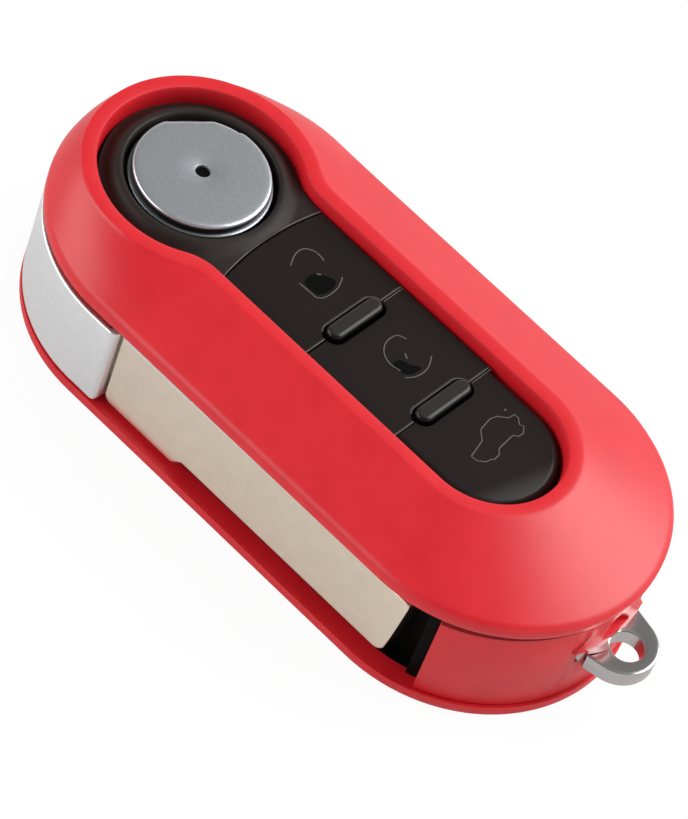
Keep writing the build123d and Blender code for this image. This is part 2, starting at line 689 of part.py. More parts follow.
# Battery tray: curved end wall with a fairing over the loop, floor with the round well, side walls and seat
with BuildPart() as battery_tray:
    with BuildSketch(Plane.XY.offset(tray_bottom_z)):
        case_outline(panel_gap)
        case_outline(panel_gap + tray_wall, mode=Mode.SUBTRACT)
        with Locations((tray_edge_x + end_radius, 0)):
            Rectangle(2 * end_radius, case_width, mode=Mode.INTERSECT)
    extrude(amount=tray_top_z - tray_bottom_z)
    with BuildSketch(Plane.XY.offset(tray_floor_z)) as tray_plan:
        with Locations(((tray_start_x + case_end_x) / 2, (tray_near_y + tray_far_y) / 2)):
            Rectangle(case_end_x - tray_start_x, tray_far_y - tray_near_y)
        case_outline(panel_gap + tray_wall / 2, mode=Mode.INTERSECT)
    extrude(amount=tray_floor)
    with BuildSketch(Plane.XY.offset(tray_floor_z + tray_floor)):
        with Locations((well_x, well_y)):
            Circle(well_radius + well_wall)
        with Locations(((tray_start_x + case_end_x) / 2, tray_near_y + tray_side_wall / 2)):
            Rectangle(case_end_x - tray_start_x, tray_side_wall)
        with Locations(((tray_start_x + case_end_x) / 2, tray_far_y - tray_side_wall / 2)):
            Rectangle(case_end_x - tray_start_x, tray_side_wall)
        with Locations((well_x, well_y)):
            Circle(well_radius, mode=Mode.SUBTRACT)
        case_outline(panel_gap + tray_wall / 2, mode=Mode.INTERSECT)
    extrude(amount=tray_side_top_z - tray_floor_z - tray_floor)
    with BuildSketch(Plane.XY.offset(loop_low_z - seat_wall)):
        with Locations((end_wall_x - (tray_wall + seat_depth) / 2, 0)):
            Rectangle(seat_depth + tray_wall, 2 * seat_half_width)
        case_outline(panel_gap + tray_wall / 2, mode=Mode.INTERSECT)
    extrude(amount=loop_thickness + 2 * seat_wall)
    with BuildSketch(Plane.XY.offset(loop_top_z)):
        case_outline(0)
        with Locations((case_end_x, 0)):
            Rectangle(2 * tray_wall, 2 * fairing_low_half_width, mode=Mode.INTERSECT)
    with BuildSketch(Plane.XY.offset(fairing_top_z)):
        case_outline(panel_gap + fairing_fade)
        with Locations((case_end_x, 0)):
            Rectangle(2 * tray_wall, 2 * fairing_high_half_width, mode=Mode.INTERSECT)
    loft()
    with BuildSketch(Plane.XY.offset(scoop_low_z)):
        with Locations((case_end_x + scoop_radius - scoop_depth, 0)):
            Circle(scoop_radius)
    with BuildSketch(Plane.XY.offset(tray_top_z)):
        with Locations((case_end_x + scoop_radius, 0)):
            Circle(scoop_radius)
    loft(mode=Mode.SUBTRACT)
    with BuildSketch(Plane.XY.offset(loop_low_z)):
        loop_outline()
    extrude(amount=loop_thickness, mode=Mode.SUBTRACT)
    with BuildSketch(Plane.XZ.offset(-tray_near_y)):
        with Locations((lock_x, lock_z)):
            Circle(tongue_length + seam_gap)
        with Locations((lock_x + tongue_length / 2 - seam_gap / 2, lock_z)):
            Rectangle(tongue_length + tongue_width + seam_gap, 4 * tongue_length, mode=Mode.INTERSECT)
    extrude(amount=-tongue_thickness - 2 * seam_gap, mode=Mode.SUBTRACT)

# Key ring loop: flat plate with a round nose and one hole, its tail held in the tray
with BuildPart() as key_ring_loop:
    with BuildSketch(Plane.XY.offset(loop_low_z)):
        loop_outline()
        with Locations((loop_hole_x, 0)):
            Circle(loop_hole_radius, mode=Mode.SUBTRACT)
        with Locations((end_wall_x, -loop_half_width)):
            Circle(loop_notch_radius, mode=Mode.SUBTRACT)
    extrude(amount=loop_thickness)

# Minus contact: round pad and strip on the floor of the well
with BuildPart() as battery_contact_minus:
    with BuildSketch(Plane.XY.offset(tray_floor_z + tray_floor)):
        with Locations((well_x - well_radius / 2 + contact_width / 2, well_y)):
            Rectangle(well_radius - contact_width, contact_width)
        with Locations((well_x, well_y)):
            Circle(contact_width)
    extrude(amount=contact_thickness)

# Plus contact: curved strip against the wall of the well
with BuildPart() as battery_contact_plus:
    with BuildSketch(Plane.XY.offset(tray_floor_z + tray_floor)):
        with Locations((well_x, well_y)):
            Circle(well_radius)
            Circle(well_radius - contact_thickness, mode=Mode.SUBTRACT)
        with Locations((well_x, well_y + well_radius)):
            Rectangle(2 * contact_width, 2 * contact_width, mode=Mode.INTERSECT)
    extrude(amount=tray_side_top_z - tray_floor_z - tray_floor)

# Quarter-turn bolt: slotted head in the wall of the blade bay, shaft and tongue
with BuildPart() as tray_lock:
    with BuildSketch(Plane.XZ.offset(-bay_wall_y)):
        with Locations((lock_x, lock_z)):
            Circle(lock_head_radius)
    extrude(amount=-bay_wall / 2)
    with BuildSketch(Plane.XZ.offset(-bay_wall_y)):
        with Locations((lock_x, lock_z)):
            Circle(lock_shaft_radius)
    extrude(amount=bay_wall_y - tongue_y)
    with BuildSketch(Plane.XZ.offset(-tongue_y)):
        with Locations((lock_x + tongue_length / 2 - tongue_width / 4, lock_z)):
            Rectangle(tongue_length - tongue_width / 2, tongue_width)
        with Locations((lock_x, lock_z)):
            Circle(tongue_width / 2)
    extrude(amount=-tongue_thickness)
    with BuildSketch(Plane.XZ.offset(-bay_wall_y)):
        with Locations((lock_x, lock_z)):
            Rectangle(2 * lock_head_radius, coin_slot_width)
    extrude(amount=-coin_slot_depth, mode=Mode.SUBTRACT)

# Screws from the back, under the bottom cover
with BuildPart() as case_screws:
    with BuildSketch(Plane.XY.offset(floor_wall)):
        with Locations(screw_places):
            Circle(screw_head_radius)
    extrude(amount=screw_head_height)
    with BuildSketch(Plane.XY.offset(floor_wall)):
        with Locations(screw_places):
            Circle(screw_radius)
    extrude(amount=screw_top_z - floor_wall)

pieces = {
    "top_cover": top_cover,
    "bottom_cover": bottom_cover,
    "lower_chassis": lower_chassis,
    "upper_chassis": upper_chassis,
    "keypad_frame": keypad_frame,
    "key_mat": key_mat,
    "unlock_key": unlock_key,
    "lock_key": lock_key,
    "boot_key": boot_key,
    "release_disc": release_disc,
    "release_plunger": release_plunger,
    "flip_spring": flip_spring,
    "blade_head": blade_head,
    "key_blade": key_blade,
    "blade_pin": blade_pin,
    "battery_tray": battery_tray,
    "key_ring_loop": key_ring_loop,
    "battery_contact_minus": battery_contact_minus,
    "battery_contact_plus": battery_contact_plus,
    "tray_lock": tray_lock,
    "case_screws": case_screws,
}
os.makedirs("parts", exist_ok=True)
for name, piece in pieces.items():
    piece.part.label = name
    export_step(piece.part, f"parts/{name}.step")
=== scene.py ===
"""Looks of the flip key remote shell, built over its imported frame: metres, +Z up, lying on its back.

+X points to the key ring loop and -Y to the side the blade folds into, as in the part's source.
"""
import math

import bmesh
import bpy
import numpy as np
from mathutils import Matrix, Vector


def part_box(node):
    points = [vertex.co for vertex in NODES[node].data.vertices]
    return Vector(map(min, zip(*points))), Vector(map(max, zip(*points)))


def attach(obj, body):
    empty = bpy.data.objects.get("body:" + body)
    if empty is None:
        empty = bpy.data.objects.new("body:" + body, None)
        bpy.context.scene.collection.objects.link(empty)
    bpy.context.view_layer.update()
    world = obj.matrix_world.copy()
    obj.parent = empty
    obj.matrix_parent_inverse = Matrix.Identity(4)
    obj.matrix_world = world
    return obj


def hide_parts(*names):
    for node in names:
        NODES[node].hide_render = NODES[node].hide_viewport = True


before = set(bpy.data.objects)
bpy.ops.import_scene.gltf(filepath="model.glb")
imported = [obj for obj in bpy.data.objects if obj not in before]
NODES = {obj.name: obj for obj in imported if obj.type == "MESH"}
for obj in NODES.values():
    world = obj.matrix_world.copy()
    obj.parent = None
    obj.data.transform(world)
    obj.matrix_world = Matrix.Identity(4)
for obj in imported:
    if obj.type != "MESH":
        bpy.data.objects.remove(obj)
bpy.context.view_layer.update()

MM = 0.001

# Camera, fitted to the photo
AZIMUTH = 26.75
ELEVATION = 50.89
ROLL = 21.71
DISTANCE = 430.4 * MM
TARGET = Vector((-0.52, -1.65, 8.0)) * MM
FOCAL_PX = 4474
LONG_SIDE_PX = 819
SENSOR_MM = 36

# Places and levels, read from the frame where they can be
CASE_LOW, CASE_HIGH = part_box("bottom_cover")
COVER_LOW, COVER_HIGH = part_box("top_cover")
HEAD_LOW, HEAD_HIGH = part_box("blade_head")
BLADE_LOW, BLADE_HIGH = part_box("key_blade")
LOOP_LOW, LOOP_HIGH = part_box("key_ring_loop")
DISC_LOW, DISC_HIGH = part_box("release_disc")
DECK_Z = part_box("lock_key")[1].z
COVER_EDGE_Z = COVER_LOW.z
COVER_TOP_Z = COVER_HIGH.z
RIM_Z = COVER_EDGE_Z + 1.3 * MM
FLANGE_Z = COVER_EDGE_Z + 1.2 * MM
WALL_TOP_Z = COVER_EDGE_Z - 0.2 * MM
END_RADIUS = CASE_HIGH.y
MID_X = (CASE_LOW.x + CASE_HIGH.x) / 2
ARC_OFFSET = (CASE_HIGH.x - CASE_LOW.x) / 2 - END_RADIUS
LEFT_X = MID_X - ARC_OFFSET
RIGHT_X = MID_X + ARC_OFFSET
HINGE_X = MID_X - 22.6 * MM
SLOT_END_X = MID_X + 16.7 * MM
HEAD_END_X = MID_X - 15.8 * MM
TRAY_WALL_X = MID_X + 35.9 * MM
LOOP_HOLE_X = MID_X + 37.9 * MM

# Keyhole opening and bevel of the top cover
OPENING_RADIUS = 10.35 * MM
SLOT_HALF = 7.35 * MM
NECK = 6.0 * MM
LAND = 1.4 * MM
DRAFT = 0.3 * MM
BULGE = 0.2 * MM
BEVEL_NECK = 16.0 * MM
COVER_WALL = 1.4 * MM
SEAM = 0.15 * MM

# Points in each of the six stretches of the keyhole and of the rim
STRETCHES = (72, 16, 24, 56, 24, 16)

# Where the rim's points stop facing the necks, as a share of the end's radius
NECK_SHARE = 0.4

# Edges that turn by more than this many degrees stay sharp
SHARP_ANGLE = 40

# Blade head and what turns in it
SKIRT_GAP = 0.03 * MM
BARREL_INSET = 0.3 * MM
HEAD_CHAMFER = 0.8 * MM
HEAD_FOOT_ROUND = 0.9 * MM
HEAD_EDGE_ROUND = 0.22 * MM
POST_CLEARANCE_RADIUS = 6.36 * MM
POST_TOP_Z = 4.0 * MM
PLUNGER_BORE = 6.5 * MM
COLLAR_SEAT_RADIUS = 8.66 * MM
COLLAR_SEAT_Z = 11.45 * MM

# Key blade, drawn from the side
BLADE_ROOT_X = MID_X - 15.5 * MM
BLADE_STEP_X = MID_X - 5.5 * MM
BLADE_TIP_X = MID_X + 23.0 * MM
BLADE_BODY_LOW_Z = 3.4 * MM
BLADE_BODY_HIGH_Z = 12.3 * MM
BLADE_EDGE_ROUND = 0.12 * MM
TANG_LENGTH = 7.8 * MM
TANG_LAP = 1.0 * MM
TANG_LOW_Z = 4.8 * MM
TANG_HIGH_Z = 11.2 * MM
TANG_NEAR_Y = -15.2 * MM
TANG_FAR_Y = -13.5 * MM

# Release button: round, with a low step and a flat on the side away from the keys; angles in degrees
DISC_RADIUS = 6.9 * MM
DISC_FLAT = 6.3 * MM
DISC_FLAT_ANGLE = 145
DISC_STEP = 0.22 * MM
DISC_STEP_START = 99
DISC_STEP_RUN = 3
DISC_STEP_END = 165
DISC_FLAT_END = 175
DISC_EDGE_ROUND = 0.3 * MM
DISC_FLANGE = 0.35 * MM
DISC_HOLE_RADIUS = 0.75 * MM

# Black ring round the button
BEZEL_BORE = 7.6 * MM
BEZEL_TOP_Z = 18.0 * MM
BEZEL_CREST_RADIUS = 8.25 * MM
BEZEL_CREST_Z = 17.95 * MM
BEZEL_FOOT_RUN = 1.65 * MM
BEZEL_FOOT_Z = 16.75 * MM
BEZEL_FOOT_RISE = 0.63 * MM
BEZEL_RISE_START = 4.5 * MM
BEZEL_RISE_RUN = 3.7 * MM
BEZEL_LIP_Z = 15.6 * MM
COLLAR_RADIUS = 8.6 * MM
COLLAR_BORE = 7.95 * MM
COLLAR_FOOT_Z = 11.6 * MM
FLANGE_INSET = 1.55 * MM
WINDOW_INSET = 1.75 * MM
BOSS_X = MID_X - 1.9 * MM
BOSS_YS = (-8.4 * MM, 11.0 * MM)
BOSS_RADIUS = 1.9 * MM
BOSS_JOINT_Z = 7.05 * MM

# Key ring loop
LOOP_NOSE = 3.7 * MM
LOOP_SIDE = 4.4 * MM
LOOP_TAPER = 3 * MM
LOOP_NOTCH_RADIUS = 0.7 * MM
LOOP_NOTCH = np.array((TRAY_WALL_X - 0.2 * MM, -4.45 * MM))

# Keypad, in mm; places are measured from the middle of the case
SEAM_PLACES = (-1.5, 10.4)
FIRST_KEY_ARC = 30.0
FIRST_KEY_EDGE = -13.5
RECESS_RADIUS = 1.25
RECESS_HALF = 2.65
RIDGE_OFFSET = 0.13

# Half-thicknesses of the fine lines
SIGN_LINE = 0.06 * MM
RIDGE_LINE = 0.055 * MM
ARC_RIDGE_LINE = 0.075 * MM
RIDGE_SUNK = 0.03 * MM


def arc(centre, radius, start, end, steps):
    """Points along an arc, its last point left off; angles in degrees."""
    angles = np.radians(np.linspace(start, end, steps, endpoint=False))
    return np.stack([centre[0] + radius * np.cos(angles), centre[1] + radius * np.sin(angles)], 1)


def line(start, end, steps):
    """Points along a straight run, its last point left off."""
    share = np.linspace(0, 1, steps, endpoint=False)[:, None]
    return np.array(start) * (1 - share) + np.array(end) * share


def keyhole(round_x, end_x, radius, half, neck):
    """Keyhole outline in six stretches, anticlockwise from the upper neck."""
    reach = math.sqrt((radius + neck) ** 2 - (half + neck) ** 2)
    angle = math.degrees(math.atan2(half + neck, reach))
    neck_x = round_x + reach
    n = STRETCHES
    return np.concatenate([
        arc((round_x, 0), radius, angle, 360 - angle, n[0]),
        arc((neck_x, -half - neck), neck, 180 - angle, 90, n[1]),
        line((neck_x, -half), (end_x, -half), n[2]),
        arc((end_x, 0), half, -90, 90, n[3]),
        line((end_x, half), (neck_x, half), n[4]),
        arc((neck_x, half + neck), neck, -90, -180 + angle, n[5]),
    ])


def rim(inward):
    """Round-ended outline of the case, set in by a distance, in the same six stretches."""
    radius = END_RADIUS - inward
    split = LEFT_X + END_RADIUS * NECK_SHARE
    n = STRETCHES
    return np.concatenate([
        arc((LEFT_X, 0), radius, 90, 270, n[0]),
        line((LEFT_X, -radius), (split, -radius), n[1]),
        line((split, -radius), (RIGHT_X, -radius), n[2]),
        arc((RIGHT_X, 0), radius, -90, 90, n[3]),
        line((RIGHT_X, radius), (split, radius), n[4]),
        line((split, radius), (LEFT_X, radius), n[5]),
    ])


def opening(grow):
    """Keyhole opening at the land, let out all round."""
    return keyhole(HINGE_X, SLOT_END_X, OPENING_RADIUS + grow, SLOT_HALF + grow, NECK - grow)


def bevel_middle():
    """Bulged outline half way up the bevel."""
    round_x = (HINGE_X + LEFT_X) / 2
    end_x = (SLOT_END_X + RIGHT_X) / 2
    radius = (OPENING_RADIUS + LAND + END_RADIUS) / 2 + BULGE
    half = (SLOT_HALF + LAND + END_RADIUS) / 2 + BULGE
    return keyhole(round_x, end_x, radius, half, BEVEL_NECK)


def at(outline, z):
    """An outline lifted to a level, or to a level for each point."""
    return np.column_stack([outline, np.full(len(outline), z)])


def outward(outline):
    """Outward directions along a closed anticlockwise outline."""
    ahead = np.roll(outline, -1, 0) - np.roll(outline, 1, 0)
    ahead = ahead / np.linalg.norm(ahead, axis=1)[:, None]
    return np.column_stack([ahead[:, 1], -ahead[:, 0]])


def inset(outline, distance):
    """The outline set in by a distance along its own directions."""
    return outline - outward(outline) * distance


def rounded(corners, steps=8):
    """Closed outline through corners given as (x, y, radius), each turned into an arc."""
    points = []
    count = len(corners)
    for i, (x, y, radius) in enumerate(corners):
        here = np.array((x, y))
        before = np.array(corners[i - 1][:2]) - here
        after = np.array(corners[(i + 1) % count][:2]) - here
        before, after = before / np.linalg.norm(before), after / np.linalg.norm(after)
        half = math.acos(max(-1, min(1, before @ after))) / 2
        start = here + before * radius / math.tan(half)
        middle = here + (before + after) / np.linalg.norm(before + after) * radius / math.sin(half)
        first = start - middle
        turn = math.pi - 2 * half
        side = np.sign(before[0] * after[1] - before[1] * after[0])
        for step in range(steps + 1):
            angle = -side * turn * step / steps
            c, s = math.cos(angle), math.sin(angle)
            points.append(middle + (first[0] * c - first[1] * s, first[0] * s + first[1] * c))
    return np.array(points)


def divided(outline, longest):
    """The same outline with its long runs cut into short ones."""
    points = []
    for here, there in zip(outline, np.roll(outline, -1, 0)):
        steps = max(1, math.ceil(np.linalg.norm(there - here) / longest))
        points += [here + (there - here) * k / steps for k in range(steps)]
    return np.array(points)


def smooth(points, closed=False, steps=5):
    """Soft curve through plan points."""
    points = np.array(points, float)
    if closed:
        ring = np.concatenate([points[-1:], points, points[:2]])
    else:
        ring = np.concatenate([2 * points[:1] - points[1:2], points, 2 * points[-1:] - points[-2:-1]])
    curve = []
    for a, b, c, d in zip(ring, ring[1:], ring[2:], ring[3:]):
        slope = c - a
        bend = 2 * a - 5 * b + 4 * c - d
        twist = 3 * b - a - 3 * c + d
        for t in np.linspace(0, 1, steps, endpoint=False):
            curve.append(0.5 * (2 * b + slope * t + bend * t ** 2 + twist * t ** 3))
    if not closed:
        curve.append(points[-1])
    return np.array(curve)


def soft_levels(low, high, radius, steps):
    """(inset, level) pairs of an upright wall with rounded edges."""
    turn = np.radians(np.linspace(0, 90, steps + 1))
    bottom = [(radius * (1 - math.sin(t)), low + radius * (1 - math.cos(t))) for t in turn]
    top = [(i, low + high - z) for i, z in reversed(bottom)]
    return [(2.5 * radius, low), *bottom, *top, (2.5 * radius, high)]


def flat_on(outline, level):
    """An outline drawn in x and z, placed at a depth in y, the nearer the higher."""
    return np.column_stack([outline[:, 0], np.full(len(outline), -level), outline[:, 1]])


def around(outline, centre, radius):
    """A circle with one point in the direction of each point of an outline."""
    away = outline - centre
    return centre + away / np.linalg.norm(away, axis=1)[:, None] * radius


def ring_faces(rings, count, closed):
    """Quads between rings of equal length; the last ring joins the first if closed."""
    faces = []
    for r in range(rings if closed else rings - 1):
        low = r * count
        high = (r + 1) % rings * count
        for i in range(count):
            j = (i + 1) % count
            faces.append((low + i, low + j, high + j, high + i))
    return faces


def prism(outline, levels, place=at):
    """Vertices and faces of a solid with flat ends."""
    rings = [place(inset(outline, distance), level) for distance, level in levels]
    count = len(outline)
    faces = ring_faces(len(rings), count, False)
    faces.append(tuple(reversed(range(count))))
    faces.append(tuple(range((len(rings) - 1) * count, len(rings) * count)))
    return np.concatenate(rings), faces


def ring_solid(rings):
    """Vertices and faces of a closed ring-shaped solid through its sections."""
    return np.concatenate(rings), ring_faces(len(rings), len(rings[0]), True)


def open_bar(rings):
    """Vertices and faces of a bar whose long edges are the given lines."""
    count, sides = len(rings[0]), len(rings)
    faces = []
    for r in range(sides):
        low, high = r * count, (r + 1) % sides * count
        faces += [(low + i, low + i + 1, high + i + 1, high + i) for i in range(count - 1)]
    faces.append(tuple(r * count for r in range(sides)))
    faces.append(tuple(r * count + count - 1 for r in reversed(range(sides))))
    return np.concatenate(rings), faces


def square_bar(outer, inner, low, high):
    """A bar between two plan lines and two levels."""
    return open_bar([at(outer, low), at(outer, high), at(inner, high), at(inner, low)])


def stroke(points, radius, sunk=0.0):
    """A thin raised line on the keys along plan points, given in mm from the middle of the case."""
    path = np.array(points) * MM + (MID_X, 0)
    ahead = np.gradient(path, axis=0)
    ahead = ahead / np.linalg.norm(ahead, axis=1)[:, None]
    aside = np.column_stack([-ahead[:, 1], ahead[:, 0]])
    rings = []
    for angle in np.radians((-90, -30, 30, 90, 150, 210)):
        offset = aside * radius * math.sin(angle)
        rings.append(at(path + offset, DECK_Z - sunk + radius * math.cos(angle)))
    return open_bar(rings)


def joined(parts):
    """Several vertex and face lists as one."""
    vertices, faces = [], []
    for some_vertices, some_faces in parts:
        start = sum(len(v) for v in vertices)
        vertices.append(some_vertices)
        faces += [tuple(start + i for i in face) for face in some_faces]
    return np.concatenate(vertices), faces


def mesh_object(name, solid, finish, body, node=None):
    """A smooth-shaded mesh piece that rides on a body and may stand for a CAD node."""
    vertices, faces = solid
    mesh = bpy.data.meshes.new(name)
    mesh.from_pydata([tuple(v) for v in vertices], [], faces)
    mesh.validate()
    shape = bmesh.new()
    shape.from_mesh(mesh)
    bmesh.ops.recalc_face_normals(shape, faces=shape.faces)
    shape.to_mesh(mesh)
    shape.free()
    mesh.polygons.foreach_set("use_smooth", [True] * len(mesh.polygons))
    mesh.set_sharp_from_angle(angle=math.radians(SHARP_ANGLE))
    mesh.update()
    piece = bpy.data.objects.new(name, mesh)
    bpy.context.scene.collection.objects.link(piece)
    piece.data.materials.append(finish)
    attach(piece, body)
    if node:
        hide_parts(node)
    return piece


def material(name, colour, roughness, metallic=0.0, specular=0.5):
    """A new material with its node tree and shader."""
    made = bpy.data.materials.new(name)
    made.use_nodes = True
    shader = made.node_tree.nodes["Principled BSDF"]
    shader.inputs["Base Color"].default_value = (*colour, 1)
    shader.inputs["Roughness"].default_value = roughness
    shader.inputs["Metallic"].default_value = metallic
    shader.inputs["Specular IOR Level"].default_value = specular
    return made, made.node_tree, shader


def new_node(tree, kind, operation=None, values=None):
    """A new shader node with its operation and the values of its inputs."""
    made = tree.nodes.new("ShaderNode" + kind)
    if operation:
        made.operation = operation
    for key, value in (values or {}).items():
        made.inputs[key].default_value = value
    return made


def tone_ramp(tree, stops):
    """A colour ramp through (place, colour) stops."""
    ramp = tree.nodes.new("ShaderNodeValToRGB")
    elements = ramp.color_ramp.elements
    for element, (place, colour) in zip(elements, (stops[0], stops[-1])):
        element.position = place
        element.color = (*colour, 1)
    for place, colour in stops[1:-1]:
        elements.new(place).color = (*colour, 1)
    return ramp


def add_grain(tree, shader, scale, strength):
    """Fine moulded grain: noise to bump."""
    coordinates = new_node(tree, "TexCoord")
    noise = new_node(tree, "TexNoise", values={"Scale": scale, "Detail": 3})
    bump = new_node(tree, "Bump", values={"Strength": strength, "Distance": 0.02 * MM})
    tree.links.new(coordinates.outputs["Object"], noise.inputs["Vector"])
    tree.links.new(noise.outputs["Fac"], bump.inputs["Height"])
    tree.links.new(bump.outputs["Normal"], shader.inputs["Normal"])
    return bump


def add_tint(tree, shader, low, high, scale):
    """Slow colour variation between two tones."""
    coordinates = new_node(tree, "TexCoord")
    noise = new_node(tree, "TexNoise", values={"Scale": scale, "Detail": 4})
    ramp = tone_ramp(tree, [(0.35, low), (0.65, high)])
    tree.links.new(coordinates.outputs["Object"], noise.inputs["Vector"])
    tree.links.new(noise.outputs["Fac"], ramp.inputs["Fac"])
    tree.links.new(ramp.outputs["Color"], shader.inputs["Base Color"])
    return ramp


def red_plastic():
    """Moulded red plastic of the covers and the tray."""
    made, tree, shader = material("red_plastic", (0.64, 0.010, 0.018), 0.40)
    add_tint(tree, shader, (0.62, 0.009, 0.017), (0.66, 0.012, 0.020), 300)
    add_grain(tree, shader, 5000, 0.35)
    return made


def painted_shade_red():
    """Red plastic painted dark as shade, for faces under the cover."""
    made, tree, shader = material("painted_shade_red", (0.20, 0.003, 0.005), 0.6, specular=0.1)
    add_grain(tree, shader, 4000, 0.2)
    return made


def black_plastic():
    """Black plastic of the ring round the button."""
    made, tree, shader = material("black_plastic", (0.022, 0.017, 0.015), 0.46, specular=0.16)
    add_grain(tree, shader, 4000, 0.3)
    return made


def grained_key_plastic(name):
    """Black plastic of the keys, with its node tree and the bump of its grain."""
    made, tree, shader = material(name, (0.012, 0.0085, 0.0075), 0.36, specular=0.17)
    return made, tree, add_grain(tree, shader, 4000, 0.3)


def key_plastic():
    """Black plastic of the keys."""
    return grained_key_plastic("key_plastic")[0]


def domed_key_plastic():
    """The same plastic, its end falling away softly towards the round end of the opening."""
    direction = (0.97, -0.24, 0)
    start_x = SLOT_END_X + 3.2 * MM
    steepness = 65
    made, tree, grain = grained_key_plastic("domed_key_plastic")
    coordinates = new_node(tree, "TexCoord")
    along = new_node(tree, "VectorMath", "DOT_PRODUCT", {1: direction})
    past = new_node(tree, "Math", "SUBTRACT", {1: start_x})
    kept = new_node(tree, "Math", "MAXIMUM", {1: 0})
    squared = new_node(tree, "Math", "MULTIPLY")
    fall = new_node(tree, "Bump", values={"Strength": 1, "Distance": steepness})
    fall.invert = True
    tree.links.new(coordinates.outputs["Object"], along.inputs[0])
    tree.links.new(along.outputs["Value"], past.inputs[0])
    tree.links.new(past.outputs[0], kept.inputs[0])
    tree.links.new(kept.outputs[0], squared.inputs[0])
    tree.links.new(kept.outputs[0], squared.inputs[1])
    tree.links.new(squared.outputs[0], fall.inputs["Height"])
    tree.links.new(fall.outputs["Normal"], grain.inputs["Normal"])
    return made


def rib_plastic_painted_shade():
    """Plastic of the ribs, their steep sides painted nearly black as the shade round the ribs."""
    made, tree, shader = material("rib_plastic_painted_shade", (0.014, 0.012, 0.011), 0.32, specular=0.3)
    geometry = new_node(tree, "NewGeometry")
    split = new_node(tree, "SeparateXYZ")
    # Painted shade: the base colour darkens as the face turns from level to steep.
    ramp = tone_ramp(tree, [(0.75, (0.001, 0.001, 0.001)), (0.98, (0.022, 0.019, 0.018))])
    tree.links.new(geometry.outputs["Normal"], split.inputs[0])
    tree.links.new(split.outputs["Z"], ramp.inputs["Fac"])
    tree.links.new(ramp.outputs["Color"], shader.inputs["Base Color"])
    add_grain(tree, shader, 4000, 0.2)
    return made


def inner_black_painted_shade():
    """Black of the inner chassis, painted darker than the other blacks as the shade inside the case."""
    made, tree, shader = material("inner_black_painted_shade", (0.002, 0.002, 0.002), 0.6, specular=0.08)
    add_grain(tree, shader, 4000, 0.2)
    return made


def button_metal():
    """Bare metal, darkened low down as painted shade of the gap round the button: dark on the side above the
    base flange, the flange half as bright.
    """
    made, tree, shader = material("button_metal", (0.54, 0.565, 0.59), 0.34, 0.9)
    tint = add_tint(tree, shader, (0.51, 0.54, 0.57), (0.57, 0.595, 0.62), 2500)
    add_grain(tree, shader, 5000, 0.25)
    # Painted shade by height: half bright flange, dark side, bare top.
    flange, gap_shade, bare = (0.5,) * 3, (0.12,) * 3, (1,) * 3
    coordinates = new_node(tree, "TexCoord")
    split = new_node(tree, "SeparateXYZ")
    height = new_node(tree, "MapRange", values={"From Min": DISC_LOW.z, "From Max": DISC_HIGH.z})
    level = tone_ramp(tree, [(0.24, flange), (0.27, gap_shade), (0.66, gap_shade), (0.78, bare)])
    shade = new_node(tree, "VectorMath", "MULTIPLY")
    tree.links.new(coordinates.outputs["Object"], split.inputs[0])
    tree.links.new(split.outputs["Z"], height.inputs["Value"])
    tree.links.new(height.outputs["Result"], level.inputs["Fac"])
    tree.links.new(tint.outputs["Color"], shade.inputs[0])
    tree.links.new(level.outputs["Color"], shade.inputs[1])
    tree.links.new(shade.outputs[0], shader.inputs["Base Color"])
    return made


def silver_paint():
    """Satin silver of the blade head."""
    made, tree, shader = material("silver_paint", (0.88, 0.88, 0.88), 0.36, 0.8)
    add_tint(tree, shader, (0.86, 0.86, 0.86), (0.90, 0.90, 0.90), 1200)
    add_grain(tree, shader, 6000, 0.25)
    return made


def blade_nickel():
    """Plain nickel; faces that look along +X painted dark as shade and dark reflection on the blade's end."""
    made, tree, shader = material("blade_nickel", (0.92, 0.80, 0.65), 0.30, 0.9)
    tint = add_tint(tree, shader, (0.90, 0.78, 0.635), (0.94, 0.82, 0.67), 500)
    add_grain(tree, shader, 2500, 0.12)
    coordinates = new_node(tree, "TexCoord")
    split = new_node(tree, "SeparateXYZ")
    # Painted shade and reflection: the more a face looks along +X, the darker.
    span = {"From Min": 0.75, "From Max": 0.95, "To Min": 1, "To Max": 0.12}
    end_shade = new_node(tree, "MapRange", values=span)
    shade = new_node(tree, "VectorMath", "SCALE")
    tree.links.new(coordinates.outputs["Normal"], split.inputs[0])
    tree.links.new(split.outputs["X"], end_shade.inputs["Value"])
    tree.links.new(tint.outputs["Color"], shade.inputs[0])
    tree.links.new(end_shade.outputs["Result"], shade.inputs["Scale"])
    tree.links.new(shade.outputs[0], shader.inputs["Base Color"])
    return made


def bright_metal():
    """Polished metal of the loop, the spring, the pin and the screws."""
    made, tree, shader = material("bright_metal", (0.55, 0.53, 0.525), 0.16, 1.0)
    add_grain(tree, shader, 900, 0.1)
    return made


def rubber():
    """Dull rubber of the key mat."""
    made, tree, shader = material("rubber", (0.03, 0.03, 0.03), 0.7)
    add_grain(tree, shader, 3000, 0.4)
    return made


def gloss_patch_painted_shade():
    """Darkest black of painted shade: faces inside the padlocks and a plug in the button's hole."""
    made, tree, shader = material("gloss_patch_painted_shade", (0.003, 0.003, 0.003), 0.3, specular=0.08)
    add_grain(tree, shader, 3000, 0.1)
    return made


def ridge_black_painted_highlight():
    """Paler black of the raised signs and ridges, painted as the highlights along their edges."""
    made, tree, shader = material("ridge_black_painted_highlight", (0.12, 0.112, 0.105), 0.3)
    add_grain(tree, shader, 3000, 0.1)
    return made


def painted_highlight_metal():
    """Bright metal for painted highlights along the top edges of the head and the blade."""
    made, tree, shader = material("painted_highlight_metal", (0.95, 0.95, 0.94), 0.25, 1.0)
    add_grain(tree, shader, 3000, 0.1)
    return made


